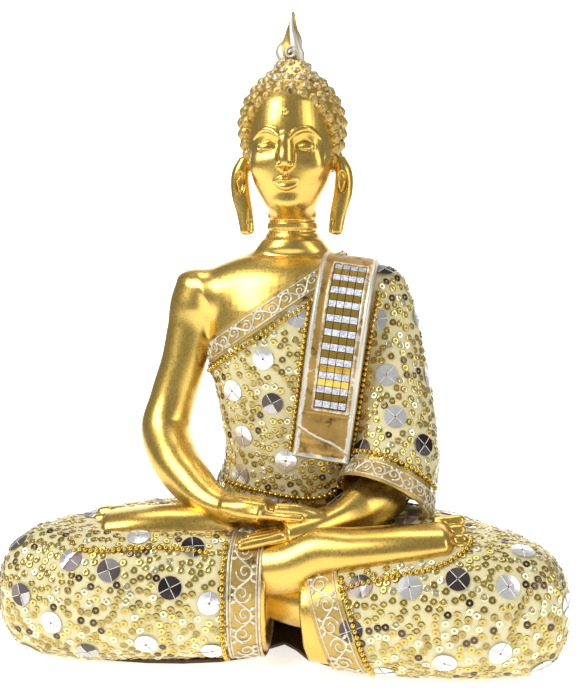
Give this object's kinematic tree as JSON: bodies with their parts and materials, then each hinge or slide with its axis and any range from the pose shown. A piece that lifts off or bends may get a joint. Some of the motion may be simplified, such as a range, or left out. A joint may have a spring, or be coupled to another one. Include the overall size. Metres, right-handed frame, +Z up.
{
  "type": "buddha statue",
  "caption": "Seated meditation figure in gold-painted resin, cross-legged with hands in the lap, dressed in sequinned cloth with bead chain, relief bands and a mosaic shoulder sash.",
  "frame": {"origin": "on the floor plane, under the middle of the whole figure", "axes": "+Z up, the figure faces -Y, +X towards the figure's left knee"},
  "size_m": [0.2566, 0.126, 0.2995],
  "materials": {
    "gold_paint": "satin metallic gold paint on cast resin",
    "silvered": "silver-white brushed over gold on a moulded relief",
    "sash_paint": "tan gold with worn, silver-brushed edges",
    "sequin_cloth": "cream satin weave with sequins",
    "bead": "shiny olive gold",
    "gold_tile": "gold mirror",
    "glitter_tile": "silver glitter",
    "felt": "matt felt"
  },
  "bodies": {
    "root": {"base_felt": "felt", "legs_casting": "gold_paint", "torso_casting": "gold_paint", "right_arm_casting": "gold_paint", "left_arm_casting": "gold_paint", "head_casting": "gold_paint", "flame_finial": "silvered", "robe_cloth": "sequin_cloth", "sleeve_cloth": "sequin_cloth", "right_trouser_cloth": "sequin_cloth", "left_trouser_cloth": "sequin_cloth", "neckline_band": "silvered", "sleeve_cuff_band": "silvered", "right_cuff_band": "silvered", "left_cuff_band": "silvered", "shoulder_sash": "sash_paint", "neckline_beads": "bead", "sash_inner_beads": "bead", "sash_outer_beads": "bead", "robe_hem_beads": "bead", "sleeve_cuff_beads": "bead", "right_cuff_beads": "bead", "left_cuff_beads": "bead", "right_foot_beads": "bead", "left_foot_beads": "bead", "mosaic_silver_row_01": "glitter_tile", "mosaic_gold_row_02": "gold_tile", "mosaic_silver_row_03": "glitter_tile", "mosaic_gold_row_04": "gold_tile", "mosaic_silver_row_05": "glitter_tile", "mosaic_gold_row_06": "gold_tile", "mosaic_silver_row_07": "glitter_tile", "mosaic_gold_row_08": "gold_tile", "mosaic_silver_row_09": "glitter_tile", "mosaic_gold_row_10": "gold_tile", "mosaic_silver_row_11": "glitter_tile", "mosaic_gold_row_12": "gold_tile", "mosaic_silver_row_13": "glitter_tile", "mosaic_gold_row_14": "gold_tile", "mosaic_silver_row_15": "glitter_tile", "mosaic_gold_row_16": "gold_tile", "mosaic_silver_row_17": "glitter_tile", "mosaic_gold_row_18": "gold_tile", "mosaic_silver_row_19": "glitter_tile", "mosaic_gold_row_20": "gold_tile", "mosaic_silver_row_21": "glitter_tile"}
  },
  "joints": []
}
